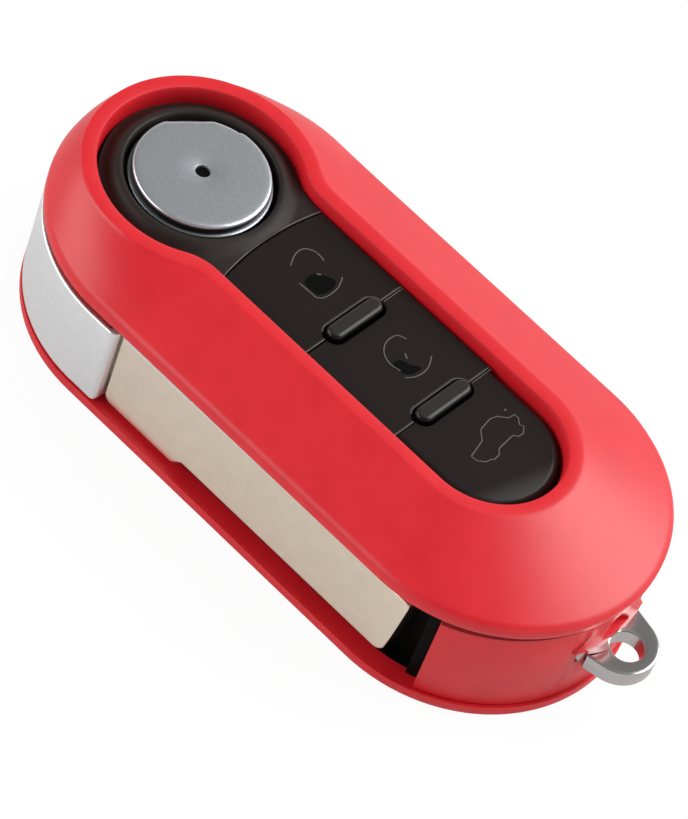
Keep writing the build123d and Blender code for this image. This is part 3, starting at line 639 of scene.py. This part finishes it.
RED = red_plastic()
PAINTED_SHADE_RED = painted_shade_red()
BLACK = black_plastic()
INNER_SHADE = inner_black_painted_shade()
KEYS = key_plastic()
DOMED = domed_key_plastic()
RIBS_PAINTED_SHADE = rib_plastic_painted_shade()
BUTTON = button_metal()
SILVER = silver_paint()
NICKEL = blade_nickel()
CHROME = bright_metal()
MAT = rubber()
PAINTED_SHADE_PATCH = gloss_patch_painted_shade()
EDGE = ridge_black_painted_highlight()
PAINTED_HIGHLIGHT = painted_highlight_metal()

FINISHES = {
    RED: ["top_cover", "bottom_cover", "battery_tray"],
    BLACK: ["upper_chassis", "release_plunger"],
    KEYS: ["unlock_key", "lock_key"],
    DOMED: ["boot_key"],
    RIBS_PAINTED_SHADE: ["keypad_frame"],
    INNER_SHADE: ["lower_chassis"],
    BUTTON: ["release_disc"],
    SILVER: ["blade_head"],
    NICKEL: ["key_blade", "battery_contact_minus", "battery_contact_plus", "tray_lock"],
    CHROME: ["key_ring_loop", "flip_spring", "blade_pin", "case_screws"],
    MAT: ["key_mat"],
}


def finish_solids():
    """Each CAD solid gets its finish."""
    for finish, names in FINISHES.items():
        for name in names:
            NODES[name].data.materials.clear()
            NODES[name].data.materials.append(finish)


def top_cover():
    """Cover from its lower edge over the bevel and the land, and down the wall of the opening."""
    rings = [
        at(rim(COVER_WALL), FLANGE_Z),
        at(rim(COVER_WALL), COVER_EDGE_Z),
        at(rim(0.20 * MM), COVER_EDGE_Z),
        at(rim(0.06 * MM), COVER_EDGE_Z + 0.06 * MM),
        at(rim(0), COVER_EDGE_Z + 0.20 * MM),
        at(rim(0), RIM_Z - 0.35 * MM),
    ]
    low, middle, high = rim(0), bevel_middle(), opening(LAND)
    for t in np.linspace(0, 1, 25)[1:-1]:
        outline = 2 * (t - 0.5) * (t - 1) * low - 4 * t * (t - 1) * middle + 2 * t * (t - 0.5) * high
        rings.append(at(outline, RIM_Z + t * (COVER_TOP_Z - RIM_Z)))
    land_edge = ((LAND + 0.15 * MM, 0.03), (LAND - 0.1 * MM, 0))
    opening_edge = ((0.35 * MM, 0), (0.12 * MM, 0.06), (0, 0.28))
    for grow, drop in land_edge + opening_edge:
        rings.append(at(opening(grow), COVER_TOP_Z - drop * MM))
    for share in (0.3, 0.7, 1.0):
        rings.append(at(opening(-DRAFT * share), COVER_TOP_Z + share * (FLANGE_Z - COVER_TOP_Z)))
    rings.append(at(opening(COVER_WALL), FLANGE_Z))
    mesh_object("cover_top", ring_solid(rings), RED, "case", "top_cover")


def head_outline():
    """Plan of the head: barrel round the hinge, skirt on the case's line, round-cornered end."""
    skirt = END_RADIUS - SKIRT_GAP
    barrel = skirt - BARREL_INSET - (LEFT_X - HINGE_X)
    across = HEAD_END_X - HINGE_X
    low_y = -math.sqrt(barrel ** 2 - across ** 2)
    start = math.degrees(math.atan2(low_y, across))
    corner = (HEAD_END_X - HEAD_CHAMFER, -skirt + HEAD_CHAMFER)
    return np.concatenate([
        arc((HINGE_X, 0), barrel, start, 180, 90),
        arc((LEFT_X, 0), skirt, 180, 270, 60),
        line((LEFT_X, -skirt), (corner[0], -skirt), 6),
        arc(corner, HEAD_CHAMFER, -90, 0, 8),
        line((HEAD_END_X, corner[1]), (HEAD_END_X, low_y), 8),
    ])


def blade_head():
    """Casting round the hinge, hollow for the post, the plunger and the collar."""
    outline = head_outline()
    centre = np.array((HINGE_X, 0))
    low, high = HEAD_LOW.z, HEAD_HIGH.z
    levels = soft_levels(low, high, HEAD_EDGE_ROUND, 4)
    wall = len(levels) // 2
    levels[wall:wall] = [(0, low + HEAD_FOOT_ROUND * share) for share in (0.35, 0.45, 0.6, 0.8, 1.0)]
    rings = [at(around(outline, centre, POST_CLEARANCE_RADIUS), low)]
    for distance, z in levels:
        ring = inset(outline, distance)
        rise = max(0.0, 1 - (z - low) / HEAD_FOOT_ROUND)
        rounding = HEAD_FOOT_ROUND * (1 - math.sqrt(max(0.0, 1 - rise ** 2)))
        ring[:, 0] = np.minimum(ring[:, 0], HEAD_END_X - distance - rounding)
        rings.append(at(ring, z))
    hollow = (
        (COLLAR_SEAT_RADIUS, high), (COLLAR_SEAT_RADIUS, COLLAR_SEAT_Z), (PLUNGER_BORE, COLLAR_SEAT_Z),
        (PLUNGER_BORE, POST_TOP_Z), (POST_CLEARANCE_RADIUS, POST_TOP_Z),
    )
    for radius, z in hollow:
        rings.append(at(around(outline, centre, radius), z))
    mesh_object("head", ring_solid(rings), SILVER, "blade_unit", "blade_head")


def key_blade():
    """Uncut blank: broad root, straight blade, slightly waved end, and the tang in the head."""
    root, step, tip = BLADE_ROOT_X, BLADE_STEP_X, BLADE_TIP_X
    low, high = BLADE_BODY_LOW_Z, BLADE_BODY_HIGH_Z
    root_low, root_high = BLADE_LOW.z, BLADE_HIGH.z
    outline = rounded([
        (root, root_low, 0.9 * MM),
        (step - 0.6 * MM, root_low, 0.5 * MM),
        (step + 0.5 * MM, low, 0.6 * MM),
        (tip - 1.0 * MM, low, 1.3 * MM),
        (tip - 0.6 * MM, low + 2.8 * MM, 2 * MM),
        (tip - 0.3 * MM, high - 3.2 * MM, 3 * MM),
        (tip, high, 0.5 * MM),
        (step + 1.0 * MM, high, 0.5 * MM),
        (step, root_high, 0.5 * MM),
        (root, root_high, 0.4 * MM),
    ])
    outline = divided(outline, 1.5 * MM)
    blade = prism(outline, soft_levels(-BLADE_HIGH.y, -BLADE_LOW.y, BLADE_EDGE_ROUND, 3), flat_on)
    start, end, corner = root - TANG_LENGTH, root + TANG_LAP, 0.3 * MM
    tang = rounded([
        (start, TANG_LOW_Z, corner), (end, TANG_LOW_Z, corner),
        (end, TANG_HIGH_Z, corner), (start, TANG_HIGH_Z, corner),
    ])
    tang = prism(tang, soft_levels(-TANG_FAR_Y, -TANG_NEAR_Y, 0.05 * MM, 1), flat_on)
    mesh_object("blade", joined([blade, tang]), NICKEL, "blade_unit", "key_blade")


def head_edge_highlight():
    """Bright metal strip along the head's top edge: a painted highlight."""
    skirt = END_RADIUS - 0.01 * MM
    path = np.concatenate([
        arc((LEFT_X, 0), skirt, 196, 270, 40),
        line((LEFT_X, -skirt), (HEAD_END_X - 0.9 * MM, -skirt), 6),
    ])
    out = np.column_stack([np.gradient(path[:, 1]), -np.gradient(path[:, 0])])
    out = out / np.linalg.norm(out, axis=1)[:, None]
    section = ((0.0, -0.28), (0.02, -0.18), (0.08, -0.08), (0.16, -0.01), (0.3, 0.02), (0.3, -0.3))
    rings = [at(path - out * inward * MM, HEAD_HIGH.z + rise * MM) for inward, rise in section]
    mesh_object("head_edge_highlight", open_bar(rings), PAINTED_HIGHLIGHT, "blade_unit")


def blade_edge_highlight():
    """Painted highlight: bright line along the blade's top edge, growing thin towards the tip."""
    start, end = MID_X - 15.0 * MM, MID_X + 12 * MM
    path = line((start, BLADE_LOW.y), (end, BLADE_LOW.y), 60)
    fade = np.clip((path[-1, 0] - path[:, 0]) / (path[-1, 0] - path[0, 0]), 0.15, 1)
    rings = []
    for proud, rise in ((0.012, -0.26), (0.015, 0.14), (-0.2, 0.14), (-0.2, -0.26)):
        rings.append(at(path - (0, proud * MM), (12.0 + rise * fade) * MM))
    mesh_object("blade_edge_highlight", open_bar(rings), PAINTED_HIGHLIGHT, "blade_unit")


def cover_tongue():
    """Short tongue under the cover that closes the gap over the head, coloured dark red as painted shade of
    the cover.
    """
    paths = []
    for depth in (0.32, 1.2):
        radius = END_RADIUS - depth * MM
        paths.append(np.concatenate([
            arc((LEFT_X, 0), radius, 186, 270, 48),
            line((LEFT_X, -radius), (HEAD_END_X - 0.6 * MM, -radius), 6),
        ]))
    tongue = square_bar(*paths, HEAD_HIGH.z + 0.08 * MM, COVER_EDGE_Z + 0.05 * MM)
    mesh_object("cover_tongue", tongue, PAINTED_SHADE_RED, "case")


def painted_seam_shade():
    """Dark red strip of painted shade round the tray's end wall, under the cover's edge, dying out towards the
    loop.
    """
    centre = (RIGHT_X, 0)
    top = [v.co for v in NODES["battery_tray"].data.vertices if v.co.z > COVER_EDGE_Z - 1 * MM]
    wall = max(math.dist(place.xy, centre) for place in top)
    steps, start, end = 60, -65.5, -14
    outer, inner = (arc(centre, wall + out * MM, start, end, steps) for out in (0.02, -0.3))
    depths = np.linspace(0.95, 0.5, steps) * MM
    shade = square_bar(outer, inner, COVER_EDGE_Z - depths, COVER_EDGE_Z + 0.02 * MM)
    mesh_object("painted_seam_shade", shade, PAINTED_SHADE_RED, "battery_drawer")


def soft_edges():
    """Moulded edges of the red lower parts, rounded a little."""
    for name in ("bottom_cover", "battery_tray"):
        joint = NODES[name].modifiers.new("joint", "WELD")
        joint.merge_threshold = 0.002 * MM
        soft = NODES[name].modifiers.new("soft_edges", "BEVEL")
        soft.width = 0.22 * MM
        soft.segments = 2
        soft.limit_method = "ANGLE"
        soft.angle_limit = math.radians(50)


def key_ring_loop():
    """Flat plate: round nose, sides that run out to the tail, one hole and a small notch."""
    nose_x = LOOP_HIGH.x - LOOP_NOSE
    tail_x = nose_x - LOOP_TAPER
    away = math.hypot(LOOP_TAPER, LOOP_SIDE)
    touch = math.degrees(math.atan2(LOOP_SIDE, -LOOP_TAPER) - math.acos(LOOP_NOSE / away))
    meet = math.radians(touch)
    meet_x, meet_y = nose_x + LOOP_NOSE * math.cos(meet), LOOP_NOSE * math.sin(meet)
    outline = np.concatenate([
        arc((nose_x, 0), LOOP_NOSE, -touch, touch, 48),
        line((meet_x, meet_y), (tail_x, LOOP_SIDE), 12),
        line((tail_x, LOOP_SIDE), (LOOP_LOW.x, LOOP_SIDE), 4),
        line((LOOP_LOW.x, LOOP_SIDE), (LOOP_LOW.x, -LOOP_SIDE), 6),
        line((LOOP_LOW.x, -LOOP_SIDE), (tail_x, -LOOP_SIDE), 4),
        line((tail_x, -LOOP_SIDE), (meet_x, -meet_y), 60),
    ])
    apart = outline - LOOP_NOTCH
    distance = np.linalg.norm(apart, axis=1)
    near = distance < LOOP_NOTCH_RADIUS
    outline[near] = LOOP_NOTCH + apart[near] / distance[near][:, None] * LOOP_NOTCH_RADIUS
    low, high = LOOP_LOW.z, LOOP_HIGH.z
    rings = [at(inset(outline, d), z) for d, z in soft_levels(low, high, 0.15 * MM, 3)]
    hole = (
        (2.1, high), (1.85, high), (1.74, high - 0.04 * MM), (1.7, high - 0.15 * MM),
        (1.7, low + 0.15 * MM), (1.85, low), (2.1, low),
    )
    for radius, z in hole:
        rings.append(at(around(outline, np.array((LOOP_HOLE_X, 0)), radius * MM), z))
    mesh_object("loop", ring_solid(rings), CHROME, "battery_drawer", "key_ring_loop")


def disc_reach(angle):
    """How far the button's edge lies from its middle in one direction."""
    if not DISC_STEP_START < angle < DISC_FLAT_END:
        return DISC_RADIUS
    step = DISC_STEP * min(1, (angle - DISC_STEP_START) / DISC_STEP_RUN)
    if angle > DISC_STEP_END:
        step = 0
    return min(DISC_RADIUS - step, DISC_FLAT / math.cos(math.radians(angle - DISC_FLAT_ANGLE)))


def release_disc():
    """Metal button: flat-sided top with a rounded edge, a low side and a thin base flange."""
    centre = np.array((HINGE_X, 0))
    angles = np.linspace(0, 360, 180, endpoint=False)
    top = np.array([disc_reach(angle) for angle in angles])
    turn = np.column_stack([np.cos(np.radians(angles)), np.sin(np.radians(angles))])
    z = DISC_HIGH.z
    base = DISC_LOW.z
    flange = DISC_HIGH.x - HINGE_X

    def ring(inward, level):
        return at(centre + turn * (top - inward)[:, None], level)

    def circle(radius, level):
        return at(centre + turn * radius, level)

    rings = [
        circle(DISC_HOLE_RADIUS, base), circle(DISC_HOLE_RADIUS, z - 0.1 * MM),
        circle(0.78 * MM, z - 0.03 * MM), circle(0.9 * MM, z), circle(3 * MM, z),
        ring(0.9 * MM, z), ring(0.42 * MM, z - 0.01 * MM),
    ]
    for angle in np.radians((18, 36, 54, 72, 90)):
        inward = DISC_EDGE_ROUND * (1 - math.sin(angle))
        drop = DISC_EDGE_ROUND * (1 - math.cos(angle))
        rings.append(ring(inward, z - 0.02 * MM - drop))
    rings += [
        ring(0, base + DISC_FLANGE), circle(flange - 0.12 * MM, base + DISC_FLANGE),
        circle(flange, base + DISC_FLANGE - 0.1 * MM), circle(flange, base),
    ]
    mesh_object("disc", ring_solid(rings), BUTTON, "release_button", "release_disc")


def button_hole_shade():
    """Dark plug in the small hole of the button, painted as the shade in the hole."""
    outline = arc((HINGE_X, 0), DISC_HOLE_RADIUS - 0.01 * MM, 0, 360, 40)
    top = DISC_HIGH.z - 0.3 * MM
    mesh_object("button_hole_shade", prism(outline, [(0, top - 0.4 * MM), (0, top)]), PAINTED_SHADE_PATCH, "release_button")


def bezel_outline():
    """Wall of the opening round the button, closed by the curved edge of the first key."""
    wall = opening(-DRAFT - SEAM)
    lower_end, upper_start = sum(STRETCHES[:2]), sum(STRETCHES[:5])
    half = SLOT_HALF - DRAFT - SEAM
    key_radius = (FIRST_KEY_ARC + 0.02) * MM
    key_centre = MID_X + (FIRST_KEY_ARC + FIRST_KEY_EDGE) * MM
    meet_x = key_centre - math.sqrt(key_radius ** 2 - half ** 2)
    turn = math.degrees(math.asin(half / key_radius))
    return np.concatenate([
        wall[upper_start:],
        wall[:lower_end],
        line(wall[lower_end], (meet_x, -half), 4),
        arc((key_centre, 0), key_radius, 180 + turn, 180 - turn, 48),
        line((meet_x, half), wall[upper_start], 4),
    ])


def eased(share):
    """A share from 0 to 1 that starts and ends gently."""
    return share * share * (3 - 2 * share)


def bezel_ring():
    """Ring round the button, running smoothly into the deck before the first key."""
    centre = np.array((HINGE_X, 0))
    outline = bezel_outline()
    away = outline - centre
    reach = np.linalg.norm(away, axis=1)
    rise = np.clip((away[:, 0] - BEZEL_RISE_START) / BEZEL_RISE_RUN, 0, 1)
    foot = BEZEL_FOOT_Z + BEZEL_FOOT_RISE * eased(rise)

    def circle(radius, level):
        return at(around(outline, centre, radius), level)

    def slope(share):
        r = BEZEL_CREST_RADIUS + (reach - BEZEL_CREST_RADIUS) * share
        fall = np.clip((r - BEZEL_CREST_RADIUS) / BEZEL_FOOT_RUN, 0, 1)
        z = BEZEL_CREST_Z + (foot - BEZEL_CREST_Z) * eased(fall) ** 0.8
        return at(centre + away / reach[:, None] * r[:, None], z)

    rings = [circle(COLLAR_RADIUS, COLLAR_FOOT_Z), circle(COLLAR_RADIUS, WALL_TOP_Z), at(outline, FLANGE_Z)]
    rings += [slope(share) for share in np.linspace(1, 0, 16)]
    crest = ((0.52, 0), (0.35, 0.01), (0.18, 0.1), (0.06, 0.25), (0, 0.5))
    rings += [circle(BEZEL_BORE + out * MM, BEZEL_TOP_Z - drop * MM) for out, drop in crest]
    rings += [circle(BEZEL_BORE, BEZEL_LIP_Z), circle(COLLAR_BORE, BEZEL_LIP_Z)]
    rings += [circle(COLLAR_BORE, COLLAR_FOOT_Z)]
    return ring_solid(rings)


def bezel():
    """Upper chassis: the ring round the button, the flange under the cover and two screw bosses."""
    flange = ring_solid([
        at(rim(FLANGE_INSET), WALL_TOP_Z), at(rim(FLANGE_INSET), FLANGE_Z),
        at(opening(-WINDOW_INSET), FLANGE_Z), at(opening(-WINDOW_INSET), WALL_TOP_Z),
    ])
    bosses = []
    for y in BOSS_YS:
        outline = arc((BOSS_X, y), BOSS_RADIUS, 0, 360, 32)
        bosses.append(prism(outline, [(0, BOSS_JOINT_Z), (0, WALL_TOP_Z)]))
    mesh_object("bezel", joined([bezel_ring(), flange, *bosses]), BLACK, "case", "upper_chassis")


def open_padlock():
    """Open padlock sign: swung shackle, straight side and bowed end of the body, a small keyhole."""
    shackle = [
        (-9.8, -0.4), (-10.4, 0.7), (-10.6, 1.6), (-10.4, 2.3), (-9.9, 2.7), (-9.2, 2.9), (-8.3, 2.8),
    ]
    body_end = [(-5.6, -1.1), (-5.2, -0.6), (-5.05, 0.4), (-5.2, 1.6), (-5.8, 2.8)]
    body = [(-7.8, -1.2), (-6.8, -1.15), *smooth(body_end)]
    keyhole_mark = [(-7.55, 1.0), (-7.25, 1.3)]
    return [stroke(smooth(shackle), SIGN_LINE), stroke(body, SIGN_LINE), stroke(keyhole_mark, 0.08 * MM)]


def closed_padlock():
    """Closed padlock sign: shackle over the body, bowed edge of the body and a small keyhole."""
    shackle = [
        (3.1, 2.6), (2.3, 2.2), (2.1, 1.5), (2.2, 0.6), (2.7, -0.2), (3.4, -0.7), (4.3, -0.9), (5.4, -0.7),
    ]
    body = [(6.2, -0.9), (6.7, -0.1), (6.85, 1.1), (6.6, 2.1), (6.0, 3.1)]
    keyhole_mark = [(4.2, 1.2), (4.8, 0.9)]
    return [
        stroke(smooth(shackle), SIGN_LINE), stroke(smooth(body), SIGN_LINE), stroke(keyhole_mark, 0.07 * MM),
    ]


def dark_patch(corners):
    """Glossy face inside a padlock, painted darkest black as the shade of its sunken face."""
    outline = smooth(corners, closed=True, steps=3) * MM + (MID_X, 0)
    return prism(outline, [(0, DECK_Z - 0.1 * MM), (0, DECK_Z + 0.015 * MM)])


def car():
    """Outline of a car seen from the side, with its boot open and a dot over it."""
    shape = [
        (16.4, -2.4), (15.8, -0.2), (14.8, 0.7), (14.5, 2.3), (14.7, 3.1), (15.5, 3.9), (15.6, 4.7),
        (16.1, 4.7), (16.7, 4.2), (17.1, 4.4), (17.6, 3.8), (17.6, 3.1), (17.2, 2.8), (17.2, 2.3),
        (17.4, 0.5), (17.9, 0.0), (18.0, -0.8), (17.8, -1.1), (17.7, -1.7), (17.1, -2.3),
    ]
    dot = [(14.6, 4.4), (14.8, 4.3)]
    return [stroke([*shape, shape[0]], SIGN_LINE), stroke(dot, 0.09 * MM)]


def key_signs():
    """Moulded signs on the three keys, in mm from the middle of the case; their paler lines are painted
    highlight and their dark faces painted shade.
    """
    mesh_object("unlock_sign", joined(open_padlock()), EDGE, "unlock_button")
    mesh_object("lock_sign", joined(closed_padlock()), EDGE, "lock_button")
    mesh_object("boot_sign", joined(car()), EDGE, "boot_button")
    unlock_face = [
        (-7.6, -0.7), (-7.8, 0.6), (-7.0, 1.5), (-5.8, 1.9), (-5.4, 0.7), (-5.6, -0.4), (-6.0, -0.8),
    ]
    lock_face = [(4.5, -0.9), (4.4, 0.2), (5.4, 0.6), (6.3, 1.3), (6.4, 0.2), (5.9, -0.6)]
    mesh_object("unlock_patch", dark_patch(unlock_face), PAINTED_SHADE_PATCH, "unlock_button")
    mesh_object("lock_patch", dark_patch(lock_face), PAINTED_SHADE_PATCH, "lock_button")


def recess_arc(x, y, start, end, steps):
    """Stretch of the round end of a rib's recess, in mm; angles in degrees."""
    angles = np.radians(np.linspace(start, end, steps))
    return [(x + RECESS_RADIUS * math.cos(a), y + RECESS_RADIUS * math.sin(a)) for a in angles]


def key_edges():
    """Fine raised lines in paler black along the seams between the keys and round the recesses of the ribs:
    painted highlights of those edges.
    """
    turn = np.radians(np.linspace(193.2, 166.8, 40))
    radius = FIRST_KEY_ARC + 0.03
    centre = FIRST_KEY_ARC + FIRST_KEY_EDGE
    first = np.column_stack([centre + radius * np.cos(turn), radius * np.sin(turn)])
    mesh_object("first_ridge", stroke(first, ARC_RIDGE_LINE, RIDGE_SUNK), EDGE, "case")
    for name, x, body in zip(("unlock", "lock"), SEAM_PLACES, ("unlock_button", "lock_button")):
        near = x - RIDGE_OFFSET
        low = [(near, -6.8), (near, -5.4), (near, -4.0)]
        recess = recess_arc(x, -RECESS_HALF, 225, 182, 6) + recess_arc(x, RECESS_HALF, 180, 90, 12)
        recess += [(near, 3.95), (near, 5.4), (near, 6.8)]
        ridges = [stroke(points, RIDGE_LINE, RIDGE_SUNK) for points in (low, recess)]
        mesh_object(name + "_ridge", joined(ridges), EDGE, body)
    for name, x, body in zip(("lock", "boot"), SEAM_PLACES, ("lock_button", "boot_button")):
        far = x + RIDGE_OFFSET
        ridge = stroke([(far, 4.0), (far, 5.4), (far, 6.8)], RIDGE_LINE, RIDGE_SUNK)
        mesh_object(name + "_far_ridge", ridge, EDGE, body)


def camera():
    """Camera on the photo's side, turned about its own axis as the photo is."""
    azimuth, elevation, roll = (math.radians(a) for a in (AZIMUTH, ELEVATION, ROLL))
    back = Vector((
        math.sin(azimuth) * math.cos(elevation), -math.cos(azimuth) * math.cos(elevation), math.sin(elevation),
    ))
    level = (-back).cross(Vector((0, 0, 1))).normalized()
    steep = level.cross(-back)
    right = math.cos(roll) * level + math.sin(roll) * steep
    up = -math.sin(roll) * level + math.cos(roll) * steep
    data = bpy.data.cameras.new("camera")
    data.sensor_width = SENSOR_MM
    data.lens = FOCAL_PX * SENSOR_MM / LONG_SIDE_PX
    data.clip_start = 0.05
    data.clip_end = 10
    made = bpy.data.objects.new("camera", data)
    bpy.context.scene.collection.objects.link(made)
    turn = Matrix((right, up, back)).transposed().to_4x4()
    made.matrix_world = Matrix.Translation(TARGET + back * DISTANCE) @ turn
    bpy.context.scene.camera = made


def lamp(name, place, size, power):
    """A soft lamp of the given width and height that points at the part."""
    data = bpy.data.lights.new(name, "AREA")
    data.shape = "RECTANGLE"
    data.size, data.size_y = size
    data.energy = power
    made = bpy.data.objects.new(name, data)
    bpy.context.scene.collection.objects.link(made)
    made.location = place
    made.rotation_euler = (TARGET - Vector(place)).to_track_quat("-Z", "Y").to_euler()


def paper():
    """White paper: pale to the camera, dimmer where it is mirrored or lights the part."""
    glow_to_all, more_to_camera = 0.58, 0.44
    share_to_camera, share_mirrored = 0.92, 0.6
    made, tree, shader = material("floor_paper", (0.75, 0.75, 0.75), 0.9)
    mix = new_node(tree, "MixShader")
    glow = new_node(tree, "Emission")
    path = new_node(tree, "LightPath")
    strength = new_node(tree, "Math", "MULTIPLY_ADD", {1: more_to_camera, 2: glow_to_all})
    seen = new_node(tree, "Math", "MULTIPLY", {1: share_to_camera})
    share = new_node(tree, "Math", "MULTIPLY_ADD", {1: share_mirrored})
    tree.links.new(path.outputs["Is Camera Ray"], strength.inputs[0])
    tree.links.new(path.outputs["Is Camera Ray"], seen.inputs[0])
    tree.links.new(path.outputs["Is Glossy Ray"], share.inputs[0])
    tree.links.new(seen.outputs[0], share.inputs[2])
    tree.links.new(strength.outputs[0], glow.inputs["Strength"])
    tree.links.new(share.outputs[0], mix.inputs[0])
    tree.links.new(shader.outputs[0], mix.inputs[1])
    tree.links.new(glow.outputs[0], mix.inputs[2])
    tree.links.new(mix.outputs[0], tree.nodes["Material Output"].inputs["Surface"])
    return made


def sky():
    """Pale horizon, brighter at the far side, with a dimmer ceiling."""
    world = bpy.data.worlds.new("world")
    bpy.context.scene.world = world
    world.use_nodes = True
    tree = world.node_tree
    tones = ((0.0, 0.95), (0.34, 0.9), (0.52, 0.2), (0.84, 0.2), (1.0, 0.4))
    coordinates = new_node(tree, "TexCoord")
    split = new_node(tree, "SeparateXYZ")
    ramp = tone_ramp(tree, [(place, (tone,) * 3) for place, tone in tones])
    side = new_node(tree, "MapRange", values={"From Min": -1, "From Max": 1, "To Min": 0.6, "To Max": 1.35})
    background = tree.nodes["Background"]
    tree.links.new(coordinates.outputs["Generated"], split.inputs[0])
    tree.links.new(split.outputs["Z"], ramp.inputs["Fac"])
    tree.links.new(split.outputs["Y"], side.inputs["Value"])
    tree.links.new(ramp.outputs["Color"], background.inputs["Color"])
    tree.links.new(side.outputs["Result"], background.inputs["Strength"])


def studio():
    """Pale floor, a pale horizon, a large soft lamp behind on the right and one in front on the left."""
    mesh = bpy.data.meshes.new("floor")
    reach = 3.0
    corners = [(-reach, -reach, 0), (reach, -reach, 0), (reach, reach, 0), (-reach, reach, 0)]
    mesh.from_pydata(corners, [], [(0, 1, 2, 3)])
    floor = bpy.data.objects.new("floor", mesh)
    bpy.context.scene.collection.objects.link(floor)
    mesh.materials.append(paper())
    sky()
    lamp("back_lamp", (0.42, 0.60, 0.68), (0.8, 0.7), 11.3)
    lamp("left_lamp", (-0.64, -0.62, 0.46), (1.05, 0.55), 7.2)


finish_solids()
top_cover()
blade_head()
key_blade()
head_edge_highlight()
blade_edge_highlight()
cover_tongue()
painted_seam_shade()
soft_edges()
key_ring_loop()
release_disc()
button_hole_shade()
bezel()
key_signs()
key_edges()
camera()
studio()
bpy.context.scene.view_settings.view_transform = "Standard"
